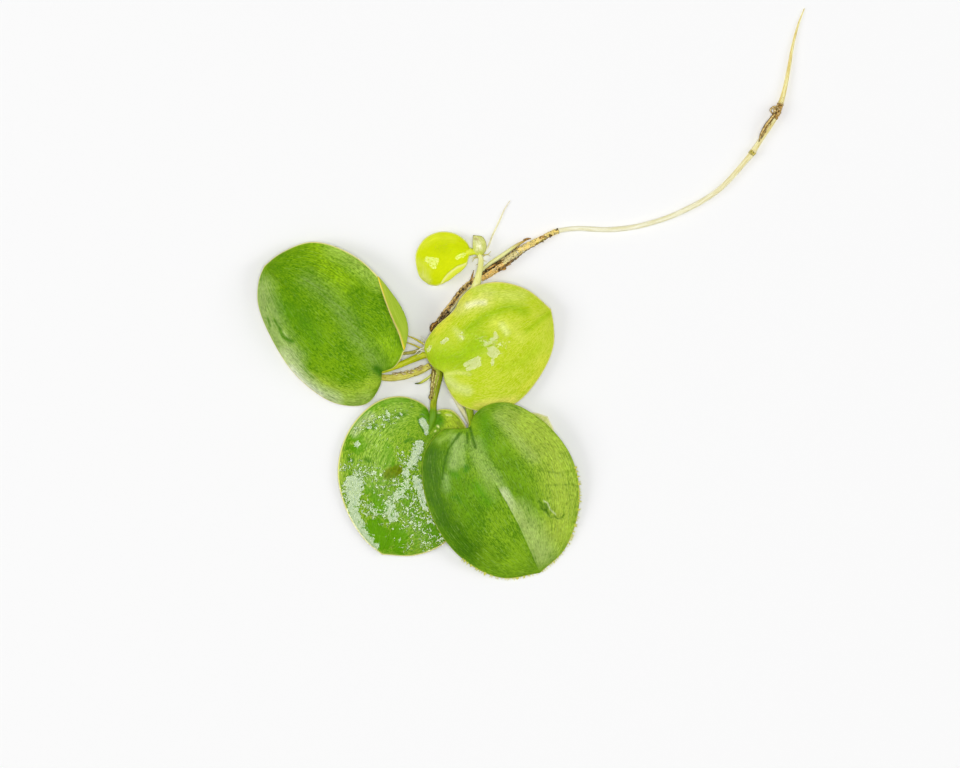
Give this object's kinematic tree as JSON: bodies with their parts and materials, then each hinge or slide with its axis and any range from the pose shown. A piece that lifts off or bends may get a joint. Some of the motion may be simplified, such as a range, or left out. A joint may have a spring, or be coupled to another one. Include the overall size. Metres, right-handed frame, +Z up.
{
  "type": "amazon frogbit plant",
  "caption": "Loose floating water plant lying flat: rounded leaves on stalks round a small crown, a long trailing root, and a runner with a young plantlet.",
  "frame": {"origin": "bottom centre of the plant's bounding box, on the surface that it lies on", "axes": "+Z up from the surface, +Y the longest way across, from the lower leaves towards the root's tip, +X to the right as seen from above"},
  "size_m": [0.0985, 0.1025, 0.0061],
  "materials": {
    "leaf_green": "smooth living leaf, soft sheen, fine arching veins",
    "leaf_wet": "wet living leaf, mirror-like in patches",
    "leaf_pale": "pale yellow-green living leaf, soft sheen",
    "leaf_bright": "bright yellow-green young leaf, glossy",
    "stalk": "green stalk with fine ribs",
    "old_stalk": "yellow-brown decaying stalk with brown specks",
    "pale_tissue": "pale translucent young tissue",
    "root": "cream root with a brown bark stretch and knots",
    "crown": "rough brown-green crown"
  },
  "bodies": {
    "root": {"crown": "crown", "leaf_left": "leaf_green", "leaf_upper_right": "leaf_pale", "leaf_lower_left": "leaf_wet", "leaf_lower_right": "leaf_green", "young_leaf": "leaf_pale", "plantlet_leaf": "leaf_bright", "plantlet_scale": "pale_tissue", "stalk_left": "stalk", "stalk_upper_right": "stalk", "stalk_lower_left": "stalk", "stalk_lower_right": "stalk", "stalk_young": "pale_tissue", "old_stalk": "old_stalk", "thin_stalk": "old_stalk", "sprout": "pale_tissue", "runner": "pale_tissue", "plantlet_root": "root", "main_root": "root", "root_strand": "pale_tissue", "rootlet_upper": "old_stalk", "rootlet_lower": "old_stalk"}
  },
  "joints": []
}
